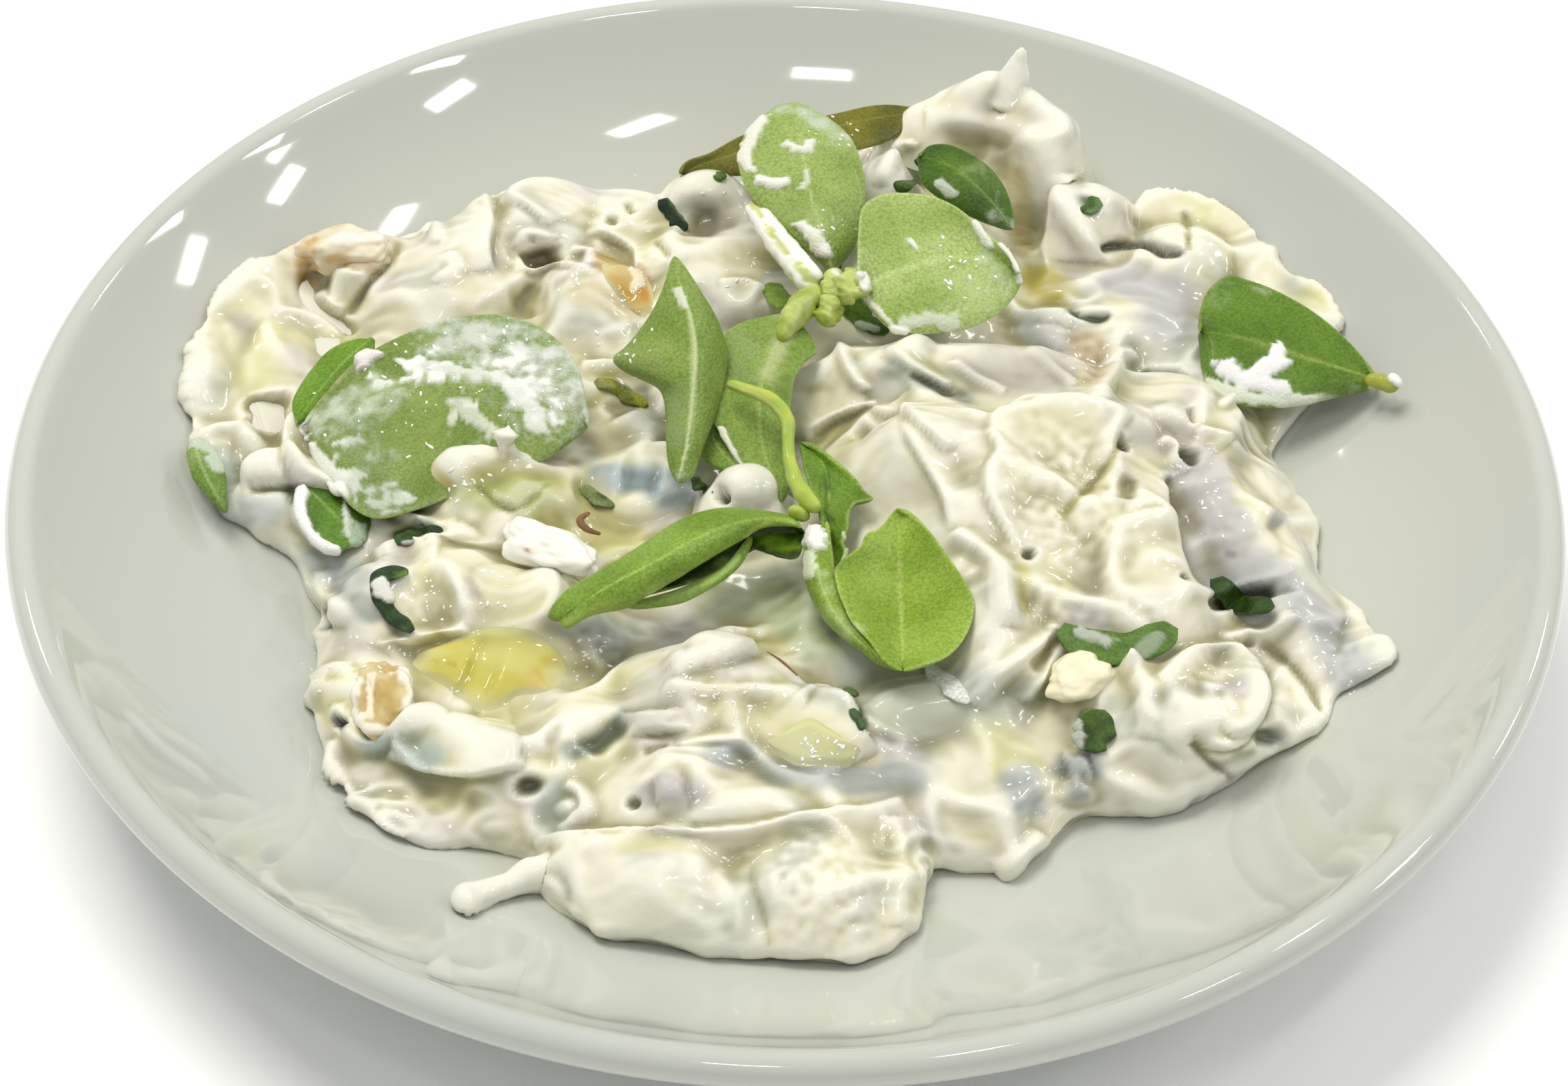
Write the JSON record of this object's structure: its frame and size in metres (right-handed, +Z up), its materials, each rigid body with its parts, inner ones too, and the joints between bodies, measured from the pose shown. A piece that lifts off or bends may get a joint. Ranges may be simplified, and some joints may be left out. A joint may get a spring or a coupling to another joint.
{
  "type": "dish of purslane yogurt",
  "caption": "Shallow round porcelain dish of thick strained yogurt with purslane leaves, garlic and pools of olive oil, a cold side dish or dip.",
  "frame": {"origin": "centre of the circle that the dish's foot ring stands on", "axes": "+Z up out of the dish, -Y towards the guest, +X to the guest's right"},
  "size_m": [0.18, 0.18, 0.0338],
  "materials": {
    "porcelain": "glossy white glaze",
    "yogurt": "moist, softly glossy strained yogurt",
    "leaf": "waxy succulent leaf",
    "dark_leaf": "wet dark leaf",
    "olive_leaf": "dull olive leaf",
    "stem": "pale juicy stem",
    "garlic": "soft oily garlic",
    "oil": "olive oil"
  },
  "bodies": {
    "root": {"dish": "porcelain", "yogurt": "yogurt", "leaf_top": "leaf", "leaf_top_right": "leaf", "leaf_back": "olive_leaf", "leaf_behind_curl": "dark_leaf", "leaf_upright": "leaf", "leaf_centre": "leaf", "leaf_torn": "dark_leaf", "leaf_rolled": "leaf", "leaf_cupped": "leaf", "leaf_left_big": "leaf", "leaf_left_behind": "leaf", "leaf_left_far": "leaf", "leaf_left_low": "dark_leaf", "leaf_right": "leaf", "stem_coated": "stem", "stem_joint": "stem", "stem_curved": "stem", "stem_right": "stem", "garlic_front": "garlic", "garlic_back": "garlic", "garlic_white": "yogurt", "garlic_right": "yogurt", "shred_back": "dark_leaf", "shred_left": "dark_leaf", "shred_right": "dark_leaf", "shred_front": "dark_leaf", "shred_side": "dark_leaf", "oil_front": "oil", "oil_centre": "oil", "oil_back": "oil"}
  },
  "joints": []
}
